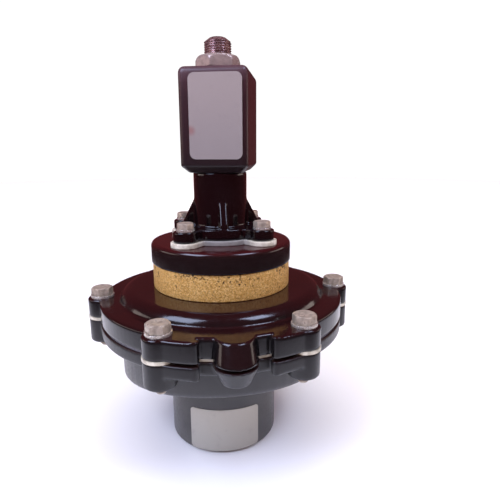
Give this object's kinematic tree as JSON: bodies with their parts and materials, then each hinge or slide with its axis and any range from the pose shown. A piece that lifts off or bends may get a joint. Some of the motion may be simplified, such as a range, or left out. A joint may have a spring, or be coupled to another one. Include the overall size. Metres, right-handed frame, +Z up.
{
  "type": "dust collector pulse valve",
  "caption": "Right-angle diaphragm pulse valve with a solenoid pilot, an exhaust silencer ring and threaded ports.",
  "frame": {"origin": "centre of the outlet port's mouth, on the flat face that the valve stands on", "axes": "+Z up along the valve's axis, from the outlet to the coil nut; -Y to the front, between the two wide flange pads; +Y out of the inlet port"},
  "size_m": [0.1906, 0.205, 0.2806],
  "materials": {
    "body_enamel": "gloss black stoving enamel on die-cast aluminium",
    "cover_enamel": "gloss black stoving enamel on die-cast aluminium",
    "diaphragm_rubber": "cream fabric-reinforced rubber",
    "seal_rubber": "black rubber",
    "zinc_steel": "zinc-plated steel",
    "spring_steel": "drawn spring steel",
    "bolt_steel": "dull zinc-plated steel",
    "washer_steel": "bright zinc-plated steel",
    "sintered_bronze": "sintered bronze beads",
    "aluminium_plate": "turned",
    "brass": "turned",
    "copper": "drawn copper",
    "stainless": "turned stainless steel",
    "stub_steel": "turned and threaded steel",
    "nut_steel": "satin nickel-plated steel",
    "coil_plastic": "moulded thermoplastic",
    "bobbin_plastic": "moulded nylon"
  },
  "bodies": {
    "housing": {"valve_body": "body_enamel", "main_diaphragm": "diaphragm_rubber", "main_spring": "spring_steel", "top_cover": "cover_enamel", "cover_bolts": "bolt_steel", "cover_washers": "washer_steel", "silencer_ring": "sintered_bronze", "exhaust_housing": "cover_enamel", "nozzle_seal": "seal_rubber", "pilot_diaphragm": "diaphragm_rubber", "pilot_spring": "spring_steel", "pilot_body": "cover_enamel", "pilot_bolts": "bolt_steel", "pilot_washers": "washer_steel", "guide_tube": "stainless", "tube_retainer": "zinc_steel", "tube_seal": "seal_rubber", "fixed_core": "stub_steel", "shading_ring": "copper", "plunger_spring": "spring_steel", "coil_housing": "coil_plastic", "coil_bobbin": "bobbin_plastic", "coil_winding": "copper", "coil_yoke": "zinc_steel", "coil_terminals": "brass", "coil_washer": "spring_steel", "coil_nut": "nut_steel"},
    "main_valve": {"lower_clamp_plate": "zinc_steel", "upper_clamp_plate": "zinc_steel", "centre_bolt": "zinc_steel", "centre_nut": "zinc_steel"},
    "pilot_valve": {"pilot_plate": "aluminium_plate", "pilot_rivet": "brass"},
    "armature": {"plunger": "stainless", "plunger_seal": "seal_rubber"}
  },
  "joints": [
    {"name": "main_lift", "type": "slide", "parent": "housing", "child": "main_valve", "axis": [0, 0, 1], "range_m": [0, 0.009], "stiffness_N_per_m": 2000, "springref_m": -0.01, "deforming": ["main_spring", "main_diaphragm"]},
    {"name": "pilot_lift", "type": "slide", "parent": "housing", "child": "pilot_valve", "axis": [0, 0, 1], "range_m": [0, 0.003], "stiffness_N_per_m": 500, "springref_m": -0.006, "deforming": ["pilot_spring", "pilot_diaphragm"]},
    {"name": "plunger_lift", "type": "slide", "parent": "housing", "child": "armature", "axis": [0, 0, 1], "range_m": [0, 0.002], "stiffness_N_per_m": 400, "springref_m": -0.006, "deforming": ["plunger_spring"]}
  ]
}
